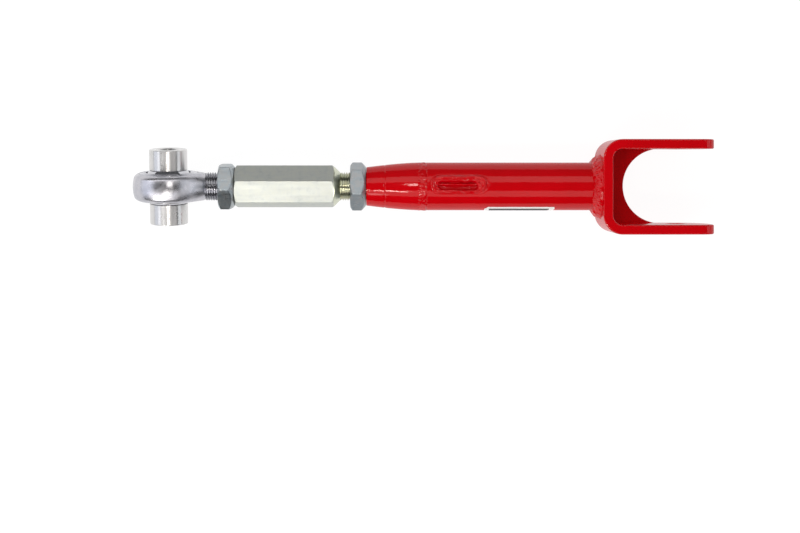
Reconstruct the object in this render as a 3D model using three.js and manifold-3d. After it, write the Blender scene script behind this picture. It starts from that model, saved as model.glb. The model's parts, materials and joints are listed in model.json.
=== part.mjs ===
// Adjustable suspension control arm: a rod end on a right-hand thread, a long hex adjuster with a
// left-hand stud, and a welded tube that carries a clevis. Turning the adjuster changes the length.
//
// Millimetres. +X runs from the rod end to the clevis, +Y along the clevis's bolt axis, and +Z away
// from the clevis's gusset plate, on which the arm lies. The rod end stands turned a little about the
// arm's axis, as it does on its thread before the nut is tightened. The origin is under the middle of
// the arm, on the plane that it lies on. Shapes are drawn in the arm's own coordinates, with the ball's
// centre at x = 0 and the arm's axis on y = z = 0, and the outer group moves them to the origin above.
// Threads are plain cylinders: males at about the major diameter, females a running gap larger.

import * as THREE from 'three';
import { mergeVertices } from 'three/addons/utils/BufferGeometryUtils.js';
import Module from 'manifold-3d';

const wasm = await Module();
wasm.setup();

// Driving dimensions

const BOLT_CENTRES = 340.0; // ball centre to clevis bolt hole centre
const ROD_END_TURN = THREE.MathUtils.degToRad(6.5); // about +X, from the clevis's bolt axis
const GAP = 0.3; // stand-off between solids that touch on the real arm
const ROUND = 40; // facets of a full turn
const FINE = 48; // facets where a piece sits close inside another

const THREAD_R = 9.4; // 3/4 in male threads
const THREAD_BORE_R = 9.85;
const BOLT_BORE_R = 6.2; // M12 bolt bore

const HEAD_R = 23.8; // rod end head, a ball cut flat on two sides
const HEAD_HALF = 9.3;
const RACE_SEAT_R = 19.5;
const RACE_LIP_R = 15.6;
const RACE_LIP_Y = -7.2;
const NECK_R = 9.9;
const NECK_FILLET = 8.0;
const NECK_END = 26.3;
const SHANK_END = 85.0;

const BALL_R = 16.65;
const BALL_HALF = 11.1;
const BALL_BORE_R = 9.85;
const RACE_CLEARANCE = 0.3;
const RING_Y = 6.9;
const RING_BORE_R = 15.5;
const COLLAR_TOP_R = 14.8;
const COLLAR_R = 16.8;
const COLLAR_TOP = 9.75;
const RING_SLOTS = 3;
const RING_SLOT_WIDTH = 1.6;
const RING_SLOT_FLOOR = 8.4;
const RING_SLOT_ANGLE = THREE.MathUtils.degToRad(57);

const SPACER_R = 12.7;
const SPACER_END = 25.0;
const SPIGOT_R = 9.55;

const NUT_FLATS = 28.575; // 1 1/8 in across flats
const NUT_WIDTH = 10.4;
const HEX_FLATS = 25.4; // 1 in across flats
const ADJUSTER_START = 44.7;
const CONE_START = 109.8;
const STUD_START = 115.1;
const STUD_END = 163.4;
const ADJUSTER_BORE_DEPTH = 56.0;

const TUBE_R = 16.0;
const TUBE_BORE_R = 12.8;
const BUNG_START = 132.6;
const BUNG_FACE_R = 12.9;
const BUNG_SHOULDER = 166.6;
const BUNG_CURVE = THREE.MathUtils.degToRad(75); // how much of a sine's rise the taper follows
const BUNG_SPIGOT_R = 12.5;
const BUNG_SPIGOT_END = 222.0;
const BUNG_BORE_END = 186.0;
const BUTT_BEAD = 5.8;
const BUTT_BEAD_R = 16.35;

const SLOT_X = 194.4; // plug weld slot in the tube
const SLOT_LENGTH = 38.2;
const SLOT_WIDTH = 12.8;
const SLOT_ANGLE = THREE.MathUtils.degToRad(6); // from +Z towards +Y
const PLUG_R = 16.55;
const PLUG_FLOOR_R = 14.2;
const DISH_LENGTH = 27.4;
const DISH_WIDTH = 6.4;

const DECAL_START = 211.2;
const DECAL_END = 258.8;
const DECAL_R = 16.3;
const DECAL_THICKNESS = 0.2;
const DECAL_FROM = THREE.MathUtils.degToRad(58); // from +Z towards -Y
const DECAL_TO = THREE.MathUtils.degToRad(155);

const PLATE = 6.35; // clevis plate
const CLEVIS_GAP = 50.0;
const WEB_START = BOLT_CENTRES - 51.6;
const EAR_END = BOLT_CENTRES + 22.7;
const BEND_R = 6.35;
const CLEVIS_TOP = 23.8;
const CLEVIS_BOTTOM = -20.6;
const EAR_TAPER = 1.5;
const EAR_CORNER_R = 9.5;
const EAR_HOLE_R = 6.25;
const FILLET_LEG = 5.2;

const GUSSET_INSET = 3.0;
const GUSSET_BOTTOM = -23.8;
const GUSSET_ARC_R = 25.4;
const GUSSET_ARC_X = BOLT_CENTRES - 6.7;
const GUSSET_END = BOLT_CENTRES - 9.0;
const GUSSET_BEAD_WIDTH = 2.4;
const GUSSET_BEAD_BOTTOM = -22.9;

const NUT_CORNER = { shank: 115, tube: 105 }; // degrees from +Z towards +Y
const ADJUSTER_CORNER = 74;

// Solids: closed geometry to a manifold solid, and back

function solidOf(geometry) {
  const bare = geometry.clone();
  bare.deleteAttribute('normal');
  bare.deleteAttribute('uv');
  const merged = mergeVertices(bare, 1e-4);
  const index = merged.index.array;
  const kept = [];
  for (let i = 0; i < index.length; i += 3) {
    const [a, b, c] = [index[i], index[i + 1], index[i + 2]];
    if (a !== b && b !== c && c !== a) kept.push(a, b, c);
  }
  const vertProperties = new Float32Array(merged.attributes.position.array);
  const triVerts = new Uint32Array(kept);
  return new wasm.Manifold(new wasm.Mesh({ numProp: 3, vertProperties, triVerts }));
}

function geometryOf(solid) {
  const mesh = solid.getMesh();
  const geometry = new THREE.BufferGeometry();
  geometry.setAttribute('position', new THREE.BufferAttribute(new Float32Array(mesh.vertProperties), 3));
  geometry.setIndex(new THREE.BufferAttribute(new Uint32Array(mesh.triVerts), 1));
  geometry.computeVertexNormals();
  return geometry;
}

// A profile of [radius, height] points, turned about +Y or laid along +X
function turnedY(profile, facets = ROUND) {
  const points = profile.map(([radius, height]) => new THREE.Vector2(radius, height));
  return solidOf(new THREE.LatheGeometry(points, facets));
}

function turnedX(profile, facets = ROUND) {
  const points = profile.map(([radius, height]) => new THREE.Vector2(radius, height));
  return solidOf(new THREE.LatheGeometry(points, facets).rotateZ(-Math.PI / 2));
}

function closed(profile) {
  return [...profile, profile[0]];
}

// Shapes drawn in one plane and extruded along the third axis, from `from` to `to`
const X = new THREE.Vector3(1, 0, 0);
const Y = new THREE.Vector3(0, 1, 0);
const Z = new THREE.Vector3(0, 0, 1);
const YZ_ALONG_X = new THREE.Matrix4().makeBasis(Y, Z, X);
const ZX_ALONG_Y = new THREE.Matrix4().makeBasis(Z, X, Y);

function extruded(shape, from, to, basis = null) {
  const geometry = new THREE.ExtrudeGeometry(shape, {
    depth: to - from,
    bevelEnabled: false,
    curveSegments: 8,
  });
  geometry.translate(0, 0, from);
  if (basis) geometry.applyMatrix4(basis);
  return solidOf(geometry);
}

function obround(length, width) {
  const reach = (length - width) / 2;
  const shape = new THREE.Shape();
  shape.absarc(reach, 0, width / 2, -Math.PI / 2, Math.PI / 2, false);
  shape.absarc(-reach, 0, width / 2, Math.PI / 2, (3 * Math.PI) / 2, false);
  return shape;
}

// Points along an arc of a profile, from angle a to angle b in radians
function arc(radius, a, b, steps) {
  const points = [];
  for (let i = 0; i <= steps; i += 1) {
    const angle = a + ((b - a) * i) / steps;
    points.push([radius * Math.cos(angle), radius * Math.sin(angle)]);
  }
  return points;
}

// Hexagon in the YZ plane with one corner at `corner` degrees from +Z towards +Y
function hexagon(flats, corner) {
  const shape = new THREE.Shape();
  for (let k = 0; k < 6; k += 1) {
    const angle = THREE.MathUtils.degToRad(corner - 60 * k);
    const radius = flats / Math.sqrt(3);
    shape[k === 0 ? 'moveTo' : 'lineTo'](radius * Math.sin(angle), radius * Math.cos(angle));
  }
  return shape;
}

// Rod end: head, neck and right-hand shank in one forging, with the seat for the races

function rodEndHousing() {
  const edge = Math.asin(HEAD_HALF / HEAD_R);
  const head = turnedY([[0, -HEAD_HALF], ...arc(HEAD_R, -edge, edge, 6), [0, HEAD_HALF]], FINE);

  // Plan of the blend between head and neck: a concave fillet on each side
  const filletZ = NECK_R + NECK_FILLET;
  const filletX = Math.sqrt((HEAD_R + NECK_FILLET) ** 2 - filletZ ** 2);
  const lean = Math.atan2(filletZ, filletX);
  const plan = new THREE.Shape();
  plan.moveTo(-NECK_R, filletX);
  plan.absarc(-filletZ, filletX, NECK_FILLET, 0, -Math.PI / 2 + lean - 0.02, true);
  plan.lineTo(-NECK_FILLET, 0);
  plan.lineTo(NECK_FILLET, 0);
  plan.absarc(filletZ, filletX, NECK_FILLET, -Math.PI / 2 - lean + 0.02, -Math.PI, true);
  const blend = extruded(plan, -HEAD_HALF, HEAD_HALF, ZX_ALONG_Y);
  const roundOff = turnedX([
    [0, 0], [HEAD_R, 0], [21.0, 14.0], [14.5, 19.5], [11.0, 24.0], [10.2, 27.0], [0, 27.0],
  ]);
  const neck = turnedX([[0, 5], [NECK_R, 5], [NECK_R, NECK_END], [0, NECK_END]]);
  const shank = turnedX([
    [0, 20], [THREAD_R, 20], [THREAD_R, SHANK_END - 1.5], [THREAD_R - 1.5, SHANK_END], [0, SHANK_END],
  ]);
  const seat = turnedY([
    [0, -HEAD_HALF - 1], [RACE_LIP_R, -HEAD_HALF - 1], [RACE_LIP_R, RACE_LIP_Y],
    [RACE_SEAT_R, RACE_LIP_Y], [RACE_SEAT_R, HEAD_HALF + 1], [0, HEAD_HALF + 1],
  ], FINE);
  return head.add(blend.intersect(roundOff)).add(neck).add(shank).subtract(seat);
}

// Half of the moulded race, between two heights, hollowed to the ball
function race(low, high) {
  const hollow = BALL_R + RACE_CLEARANCE;
  const outer = RACE_SEAT_R - GAP;
  const inside = arc(hollow, Math.asin(high / hollow), Math.asin(low / hollow), 4);
  return turnedY([[inside.at(-1)[0], low], [outer, low], [outer, high], ...inside], FINE);
}

// Threaded ring that sets the preload, with a raised collar and spanner slots
function preloadRing() {
  const outer = RACE_SEAT_R - GAP;
  let ring = turnedY(closed([
    [RING_BORE_R, RING_Y], [outer, RING_Y], [outer, HEAD_HALF], [COLLAR_R, HEAD_HALF],
    [COLLAR_R - 0.2, COLLAR_TOP], [COLLAR_TOP_R, COLLAR_TOP],
  ]), FINE);
  for (let k = 0; k < RING_SLOTS; k += 1) {
    const cutter = new THREE.BoxGeometry(outer, 4, RING_SLOT_WIDTH);
    cutter.translate(12 + outer / 2, RING_SLOT_FLOOR + 2, 0);
    cutter.rotateY(-RING_SLOT_ANGLE - (k * 2 * Math.PI) / RING_SLOTS);
    ring = ring.subtract(solidOf(cutter));
  }
  return ring;
}

function ball() {
  const edge = Math.asin(BALL_HALF / BALL_R);
  return turnedY(closed([
    [BALL_BORE_R, 0.8 - BALL_HALF], [BALL_BORE_R + 0.8, -BALL_HALF],
    ...arc(BALL_R, -edge, edge, 10),
    [BALL_BORE_R + 0.8, BALL_HALF], [BALL_BORE_R, BALL_HALF - 0.8],
  ]));
}

// Shouldered spacer: the spigot fills half of the ball's bore
function spacer() {
  const shoulder = BALL_HALF + GAP;
  return turnedY(closed([
    [BOLT_BORE_R, GAP], [SPIGOT_R, GAP], [SPIGOT_R, shoulder], [SPACER_R - 0.5, shoulder],
    [SPACER_R, shoulder + 0.5], [SPACER_R, SPACER_END - 0.5], [SPACER_R - 0.5, SPACER_END],
    [BOLT_BORE_R + 0.6, SPACER_END], [BOLT_BORE_R, SPACER_END - 0.6],
  ]));
}

// Hex pieces

function jamNut(corner) {
  const faceR = NUT_FLATS / 2 - 0.4;
  const cornerR = NUT_FLATS / Math.sqrt(3) + 0.1;
  const chamfer = 1.5;
  const hex = extruded(hexagon(NUT_FLATS, corner), 0, NUT_WIDTH, YZ_ALONG_X);
  const rounding = turnedX(closed([
    [THREAD_BORE_R, 0.8], [THREAD_BORE_R + 0.8, 0], [faceR, 0], [cornerR, chamfer],
    [cornerR, NUT_WIDTH - chamfer], [faceR, NUT_WIDTH], [THREAD_BORE_R + 0.8, NUT_WIDTH],
    [THREAD_BORE_R, NUT_WIDTH - 0.8],
  ]));
  return hex.intersect(rounding);
}

// Adjuster: blind right-hand bore at the left, 45 degree cone and left-hand stud at the right
function hexAdjuster() {
  const cornerR = HEX_FLATS / Math.sqrt(3) + 0.1;
  const coneEnd = STUD_START - ADJUSTER_START;
  const coneStart = CONE_START - ADJUSTER_START;
  const hex = extruded(hexagon(HEX_FLATS, ADJUSTER_CORNER), 0, coneEnd, YZ_ALONG_X);
  const turned = turnedX([
    [0, 0], [HEX_FLATS / 2 - 0.2, 0], [cornerR, 1.3], [cornerR, coneStart], [THREAD_R, coneEnd],
    [0, coneEnd],
  ]);
  const studEnd = STUD_END - ADJUSTER_START;
  const stud = turnedX([
    [0, coneEnd - 2], [THREAD_R, coneEnd - 2], [THREAD_R, studEnd - 1.5], [THREAD_R - 1.5, studEnd],
    [0, studEnd],
  ]);
  const bore = turnedX([
    [0, -1], [THREAD_BORE_R + 1.8, -1], [THREAD_BORE_R, 0.8], [THREAD_BORE_R, ADJUSTER_BORE_DEPTH],
    [0, ADJUSTER_BORE_DEPTH + 4],
  ]);
  return hex.intersect(turned).add(stud).subtract(bore);
}

// Welded body

function threadedBung() {
  const taper = [];
  for (let i = 0; i <= 4; i += 1) {
    const t = i / 4;
    const rise = Math.sin(t * BUNG_CURVE) / Math.sin(BUNG_CURVE);
    const radius = BUNG_FACE_R + (TUBE_R - BUNG_FACE_R) * rise;
    taper.push([radius, BUNG_START + (BUNG_SHOULDER - BUNG_START) * t]);
  }
  return turnedX([
    [0, BUNG_BORE_END + 3], [THREAD_BORE_R, BUNG_BORE_END], [THREAD_BORE_R, BUNG_START + 1],
    [THREAD_BORE_R + 1, BUNG_START], ...taper, [BUNG_SPIGOT_R, BUNG_SHOULDER],
    [BUNG_SPIGOT_R, BUNG_SPIGOT_END], [0, BUNG_SPIGOT_END],
  ]);
}

function buttBead() {
  const start = BUNG_SHOULDER + GAP;
  const end = BUNG_SHOULDER + BUTT_BEAD;
  const inner = BUNG_SPIGOT_R + GAP;
  return turnedX(closed([
    [inner, start], [TUBE_R, start], [BUTT_BEAD_R, (2 * start + end) / 3],
    [BUTT_BEAD_R, (start + 2 * end) / 3], [TUBE_R, end], [inner, end],
  ]));
}

// A racetrack-shaped prism standing on the slot, between two distances from the axis
function slotPrism(length, width, low, high) {
  const geometry = new THREE.ExtrudeGeometry(obround(length, width), {
    depth: high - low,
    bevelEnabled: false,
    curveSegments: 8,
  });
  geometry.translate(SLOT_X, 0, low);
  geometry.rotateX(-SLOT_ANGLE);
  return solidOf(geometry);
}

function mainTube() {
  const start = BUNG_SHOULDER + BUTT_BEAD + GAP;
  const end = WEB_START - GAP;
  const wall = [[TUBE_BORE_R, start], [TUBE_R, start], [TUBE_R, end], [TUBE_BORE_R, end]];
  const tube = turnedX(closed(wall), FINE);
  return tube.subtract(slotPrism(SLOT_LENGTH, SLOT_WIDTH, 5, TUBE_R + 5));
}

function slotPlugWeld() {
  const low = BUNG_SPIGOT_R + GAP;
  const [start, end] = [SLOT_X - SLOT_LENGTH, SLOT_X + SLOT_LENGTH];
  const shell = turnedX(closed([[low, start], [PLUG_R, start], [PLUG_R, end], [low, end]]), FINE);
  const filling = slotPrism(SLOT_LENGTH - 2 * GAP, SLOT_WIDTH - 2 * GAP, 5, PLUG_R + 1);
  const dish = slotPrism(DISH_LENGTH, DISH_WIDTH, PLUG_FLOOR_R, PLUG_R + 1);
  return filling.intersect(shell).subtract(dish);
}

function clevisBead() {
  const end = WEB_START - GAP;
  return turnedX(closed([
    [TUBE_R + GAP, end - FILLET_LEG], [TUBE_R + GAP + 0.6, end - FILLET_LEG],
    [TUBE_R + FILLET_LEG * 0.55, end - FILLET_LEG * 0.45], [TUBE_R + FILLET_LEG, end - 0.6],
    [TUBE_R + FILLET_LEG, end], [TUBE_R + GAP, end],
  ]));
}

// Outline of the U seen along its depth, moved inwards by `inset`, open towards +X at `end`
function outerU(shape, inset, end) {
  const half = CLEVIS_GAP / 2 + PLATE - inset;
  const left = WEB_START + inset;
  const radius = BEND_R + PLATE - inset;
  shape.moveTo(end, half);
  shape.lineTo(left + radius, half);
  shape.absarc(left + radius, half - radius, radius, Math.PI / 2, Math.PI, false);
  shape.absarc(left + radius, radius - half, radius, Math.PI, (3 * Math.PI) / 2, false);
  shape.lineTo(end, -half);
}

function innerU(shape, inset, end) {
  const half = CLEVIS_GAP / 2 + PLATE - inset;
  const left = WEB_START + inset;
  const radius = BEND_R + PLATE - inset;
  shape.lineTo(end, -half);
  shape.absarc(left + radius, radius - half, radius, (3 * Math.PI) / 2, Math.PI, true);
  shape.absarc(left + radius, half - radius, radius, Math.PI, Math.PI / 2, true);
  shape.lineTo(end, half);
}

function clevisBracket() {
  const past = EAR_END + 5;
  const bent = new THREE.Shape();
  outerU(bent, 0, past);
  innerU(bent, PLATE, past);
  const plate = extruded(bent, CLEVIS_BOTTOM, CLEVIS_TOP);

  // Side view of an ear: big round towards the gusset, small corner towards the open side
  const bigR = EAR_END - BOLT_CENTRES;
  const tipTop = CLEVIS_TOP - EAR_TAPER;
  const side = new THREE.Shape();
  side.moveTo(CLEVIS_BOTTOM, WEB_START - 1);
  side.lineTo(CLEVIS_BOTTOM, BOLT_CENTRES);
  side.absarc(CLEVIS_BOTTOM + bigR, BOLT_CENTRES, bigR, Math.PI, Math.PI / 2, true);
  side.absarc(tipTop - EAR_CORNER_R, EAR_END - EAR_CORNER_R, EAR_CORNER_R, Math.PI / 2, 0, true);
  side.lineTo(CLEVIS_TOP, WEB_START + 20);
  side.lineTo(CLEVIS_TOP, WEB_START - 1);
  const outline = extruded(side, -CLEVIS_GAP, CLEVIS_GAP, ZX_ALONG_Y);

  const hole = turnedY([
    [0, -CLEVIS_GAP], [EAR_HOLE_R, -CLEVIS_GAP], [EAR_HOLE_R, CLEVIS_GAP], [0, CLEVIS_GAP],
  ]);
  return plate.intersect(outline).subtract(hole.translate([BOLT_CENTRES, 0, 0]));
}

function clevisGusset() {
  const half = Math.asin((GUSSET_ARC_X - GUSSET_END) / GUSSET_ARC_R);
  const shape = new THREE.Shape();
  outerU(shape, GUSSET_INSET, GUSSET_END);
  shape.absarc(GUSSET_ARC_X, 0, GUSSET_ARC_R, -Math.PI / 2 - half, Math.PI / 2 + half, true);
  return extruded(shape, GUSSET_BOTTOM, CLEVIS_BOTTOM - GAP);
}

function gussetBead() {
  const shape = new THREE.Shape();
  outerU(shape, GAP, GUSSET_END);
  innerU(shape, GAP + GUSSET_BEAD_WIDTH, GUSSET_END);
  return extruded(shape, GUSSET_BEAD_BOTTOM, CLEVIS_BOTTOM - GAP);
}

function tubeDecal() {
  const outer = DECAL_R + DECAL_THICKNESS;
  const shell = turnedX(closed([
    [DECAL_R, DECAL_START], [outer, DECAL_START], [outer, DECAL_END], [DECAL_R, DECAL_END],
  ]), FINE);
  const reach = 40;
  const wedge = new THREE.Shape();
  wedge.moveTo(0, 0);
  for (const angle of [DECAL_FROM, (DECAL_FROM + DECAL_TO) / 2, DECAL_TO]) {
    wedge.lineTo(-reach * Math.sin(angle), reach * Math.cos(angle));
  }
  return shell.intersect(extruded(wedge, DECAL_START - 1, DECAL_END + 1, YZ_ALONG_X));
}

// Finishes

const FINISH = {
  redPowder: { color: 0xb3000f, roughness: 0.25, metalness: 0.0 },
  decal: { color: 0xe8e6e4, roughness: 0.4, metalness: 0.0 },
  yellowZinc: { color: 0xb4ae8c, roughness: 0.3, metalness: 0.9 },
  clearZinc: { color: 0xb9bec6, roughness: 0.3, metalness: 0.9 },
  polishedSteel: { color: 0xc4c6cb, roughness: 0.15, metalness: 1.0 },
  turnedSteel: { color: 0xd2d0cc, roughness: 0.25, metalness: 1.0 },
  polymer: { color: 0x3a3a3e, roughness: 0.5, metalness: 0.0 },
};

function piece(name, solid, finish, x = 0) {
  const mesh = new THREE.Mesh(geometryOf(solid), new THREE.MeshStandardMaterial(FINISH[finish]));
  mesh.name = name;
  mesh.position.x = x;
  return mesh;
}

// Assembly: one group for each body that moves as a whole

const weldment = new THREE.Group();
weldment.add(
  piece('main_tube', mainTube(), 'redPowder'),
  piece('threaded_bung', threadedBung(), 'redPowder'),
  piece('bung_weld_bead', buttBead(), 'redPowder'),
  piece('slot_plug_weld', slotPlugWeld(), 'redPowder'),
  piece('clevis_bracket', clevisBracket(), 'redPowder'),
  piece('clevis_gusset', clevisGusset(), 'redPowder'),
  piece('clevis_weld_bead', clevisBead(), 'redPowder'),
  piece('gusset_weld_bead', gussetBead(), 'redPowder'),
  piece('tube_decal', tubeDecal(), 'decal'),
);

const adjusterGroup = new THREE.Group();
adjusterGroup.add(piece('hex_adjuster', hexAdjuster(), 'yellowZinc', ADJUSTER_START));

const jamNuts = new THREE.Group();
jamNuts.add(
  piece('shank_jam_nut', jamNut(NUT_CORNER.shank), 'clearZinc', ADJUSTER_START - GAP - NUT_WIDTH),
  piece('tube_jam_nut', jamNut(NUT_CORNER.tube), 'clearZinc', BUNG_START - GAP - NUT_WIDTH),
);

const rodEnd = new THREE.Group();
rodEnd.rotation.x = ROD_END_TURN;
rodEnd.add(
  piece('rod_end_housing', rodEndHousing(), 'polishedSteel'),
  piece('race_lower', race(RACE_LIP_Y + GAP, -GAP / 2), 'polymer'),
  piece('race_upper', race(GAP / 2, RING_Y - GAP), 'polymer'),
  piece('preload_ring', preloadRing(), 'turnedSteel'),
  piece('ball', ball(), 'polishedSteel'),
);

const lowerSpacer = piece('spacer_lower', spacer(), 'turnedSteel');
lowerSpacer.rotation.x = Math.PI;
rodEnd.add(piece('spacer_upper', spacer(), 'turnedSteel'), lowerSpacer);

const arm = new THREE.Group();
arm.add(weldment, adjusterGroup, jamNuts, rodEnd);
arm.position.set((HEAD_R - EAR_END) / 2, 0, -GUSSET_BOTTOM);

const controlArm = new THREE.Group();
controlArm.add(arm);

export default controlArm;
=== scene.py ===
"""Looks of the adjustable control arm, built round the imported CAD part.

Shapes are drawn in the arm's own millimetres: the ball's centre at the origin, +X along the arm
towards the clevis, +Y along the clevis's bolt axis, +Z towards the camera. Angles round the arm
run from +Z towards +Y. The rod end's pieces are drawn with their bolt axis on +Y and then turned.
"""

import json
import math

import bpy
import numpy as np
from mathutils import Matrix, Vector

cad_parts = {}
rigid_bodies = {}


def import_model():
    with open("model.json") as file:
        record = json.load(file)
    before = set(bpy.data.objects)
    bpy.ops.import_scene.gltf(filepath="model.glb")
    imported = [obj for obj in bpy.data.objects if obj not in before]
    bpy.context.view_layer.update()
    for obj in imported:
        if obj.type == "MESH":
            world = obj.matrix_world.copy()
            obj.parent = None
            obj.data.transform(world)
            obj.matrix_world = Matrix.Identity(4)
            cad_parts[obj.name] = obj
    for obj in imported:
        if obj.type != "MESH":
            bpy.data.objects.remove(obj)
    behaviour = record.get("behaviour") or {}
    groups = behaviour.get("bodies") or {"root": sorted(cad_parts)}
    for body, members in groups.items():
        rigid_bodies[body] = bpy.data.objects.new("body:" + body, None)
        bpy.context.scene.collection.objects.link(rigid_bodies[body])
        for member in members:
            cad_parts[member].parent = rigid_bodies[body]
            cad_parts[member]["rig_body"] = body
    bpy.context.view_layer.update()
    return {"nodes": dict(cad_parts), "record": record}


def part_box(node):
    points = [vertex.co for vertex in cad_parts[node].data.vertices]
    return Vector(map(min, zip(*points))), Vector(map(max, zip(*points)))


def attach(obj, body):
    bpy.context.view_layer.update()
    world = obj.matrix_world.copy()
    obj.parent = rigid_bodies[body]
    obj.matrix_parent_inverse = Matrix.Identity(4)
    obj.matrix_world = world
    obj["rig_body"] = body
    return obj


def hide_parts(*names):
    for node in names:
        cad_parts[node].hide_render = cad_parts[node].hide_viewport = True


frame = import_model()

MM = 0.001
TAU = 2 * math.pi
CENTRE = np.array((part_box("ball")[0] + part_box("ball")[1]) / 2)
MOUNTS = {m["name"]: m for m in frame["record"]["mounts"]}
BOLT_AXIS = MOUNTS["spacer_face_upper"]["axis"]
TURN = math.atan2(BOLT_AXIS[2], BOLT_AXIS[1])


def span(node):
    """Lowest and highest corner of a CAD node in the arm's millimetres."""
    low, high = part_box(node)
    return (np.array(low) - CENTRE) / MM, (np.array(high) - CENTRE) / MM


def extent(node):
    """Where a CAD node starts and ends along the arm."""
    low, high = span(node)
    return low[0], high[0]


# Sizes taken from the CAD boxes

HEAD_LOW, HEAD_HIGH = span("rod_end_housing")
HEAD_R = -HEAD_LOW[0]
SHANK_END = HEAD_HIGH[0]
SHANK_NUT = extent("shank_jam_nut")
TUBE_NUT = extent("tube_jam_nut")
ADJUSTER_START, STUD_END = extent("hex_adjuster")
BUNG_START, BUNG_END = extent("threaded_bung")
BUTT_START, BUTT_END = extent("bung_weld_bead")
TUBE_START, TUBE_END = extent("main_tube")
TUBE_R = span("main_tube")[1][1]
SLOT_START, SLOT_END = extent("slot_plug_weld")
DECAL_START, DECAL_END = extent("tube_decal")
CLEVIS_LOW, CLEVIS_HIGH = span("clevis_bracket")
GUSSET_LOW, GUSSET_HIGH = span("clevis_gusset")
FILLET_START, FILLET_END = extent("clevis_weld_bead")
BOLT_X = (MOUNTS["clevis_inside_upper"]["pos_m"][0] - CENTRE[0]) / MM

# Sizes that the boxes don't give, in millimetres

# Threads
THREAD_R = 9.4
THREAD_ROOT = 8.3
PITCH = 1.5875
BORE_R = 9.5

# Rod end: head, bore and neck
HEAD_HALF = 9.3
SEAT_R = 19.5
LIP_R = 15.6
LIP_Y = -7.2
NECK_R = 9.9
NECK_END = 26.3
NECK_FILLET = 20.0

# Ball, races, ring and spacers
BALL_R = 16.65
BALL_HALF = 11.1
BALL_BORE_R = 9.9
RACE_TOP = 6.8
RING_BOTTOM = 6.95
RING_FACE = 9.28
RING_TOP = 9.75
RING_SLOT_FIRST = math.radians(-33)
RING_SLOT_FLOOR = 8.2
RING_SLOT_HALF = 0.8
SPACER_R = 12.7
SPACER_END = 25.0
SPIGOT_R = 9.5
BOLT_BORE_R = 6.2

# Hex pieces: corners in degrees round from +Z, and each nut face's radius and chamfer slope
NUT_FLATS = 28.575
NUT_LEFT_FACE, NUT_LEFT_SLOPE = 14.1, 1.5
NUT_RIGHT_FACE, NUT_RIGHT_SLOPE = 13.0, 1.15
SHANK_NUT_CORNER = 112
TUBE_NUT_CORNER = 102
HEX_FLATS = 25.4
ADJUSTER_CORNER = 74
ADJUSTER_BORE = 60.0
CONE_START = 109.8
STUD_START = 115.1

# Bung and tube
BUNG_FACE_R = 12.9
BUNG_SHOULDER = BUTT_START - 0.3
BUNG_GROOVE_X = 144.9
BUNG_BORE_END = 186.0
BUNG_SPIGOT_R = 12.5
TUBE_BORE_R = 12.8
SLOT_ANGLE = math.radians(6)
SLOT_HALF_WIDTH = 6.4
SLOT_MID = (SLOT_START + SLOT_END) / 2
SLOT_REACH = (SLOT_END - SLOT_START) / 2 - SLOT_HALF_WIDTH + 0.3

# Label
DECAL_FROM = math.radians(-58)
DECAL_TO = math.radians(-155)
DECAL_HEIGHT = 27

# Clevis
PLATE = 6.35
BEND_R = 6.35
HOLE_R = 6.25
WEB_START = CLEVIS_LOW[0]
EAR_END = CLEVIS_HIGH[0]
CLEVIS_HALF = CLEVIS_HIGH[1]
CLEVIS_BOTTOM, CLEVIS_TOP = CLEVIS_LOW[2], CLEVIS_HIGH[2]
GUSSET_CUT_R = 25.4
GUSSET_CUT_X = BOLT_X - 6.7


# Small maths


def smooth(low, high, value):
    """0 below low, 1 above high, with a smooth rise between."""
    t = np.clip((value - low) / (high - low), 0, 1)
    return t * t * (3 - 2 * t)


def soft_min(a, b, width):
    """The smaller of two values, blended where they are within `width` of each other."""
    h = np.clip(0.5 + 0.5 * (b - a) / width, 0, 1)
    return b + (a - b) * h - width * h * (1 - h)


def corner(a, b, radius):
    """Inside both a and b, with the edge between them rounded."""
    out = np.hypot(np.maximum(a + radius, 0), np.maximum(b + radius, 0))
    return np.minimum(np.maximum(a, b), -radius) + out


def lumps(points, size, seed):
    """Unevenness of about -1 to 1 that varies over about that many millimetres."""
    rng = np.random.default_rng(seed)
    waves = rng.normal(size=(10, 3))
    waves /= np.linalg.norm(waves, axis=1)[:, None]
    waves *= TAU / (size * rng.uniform(1.0, 2.4, (10, 1)))
    phases = rng.uniform(0, TAU, 10)
    return np.sin(points @ waves.T + phases).mean(-1) * 2.2


def about_x(x, radius, angle):
    """Points at a place along the arm, a radius from its axis and an angle round it."""
    x, radius, angle = np.broadcast_arrays(x, radius, angle)
    return np.stack([x, radius * np.sin(angle), radius * np.cos(angle)], -1)


def along_y(points):
    """Points or normals laid along +X, stood along +Y."""
    return np.stack([-points[..., 1], points[..., 0], points[..., 2]], -1)


# Mesh building: a shell is (points, faces, normals or None)


def grid(points, wrap_rows=False, wrap_columns=True, cap=(False, False)):
    """Quads over rows and columns of points, with flat caps on the first and last row if asked."""
    rows, columns = points.shape[:2]
    ids = np.arange(rows * columns).reshape(rows, columns)
    if wrap_rows:
        ids = np.concatenate([ids, ids[:1]])
    if wrap_columns:
        ids = np.concatenate([ids, ids[:, :1]], 1)
    quads = np.stack([ids[:-1, :-1], ids[1:, :-1], ids[1:, 1:], ids[:-1, 1:]], -1)
    faces = quads.reshape(-1, 4).tolist()
    if cap[0]:
        faces.append(list(range(columns)))
    if cap[1]:
        faces.append(list(range(rows * columns - 1, (rows - 1) * columns - 1, -1)))
    return points.reshape(-1, 3), faces, None


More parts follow.
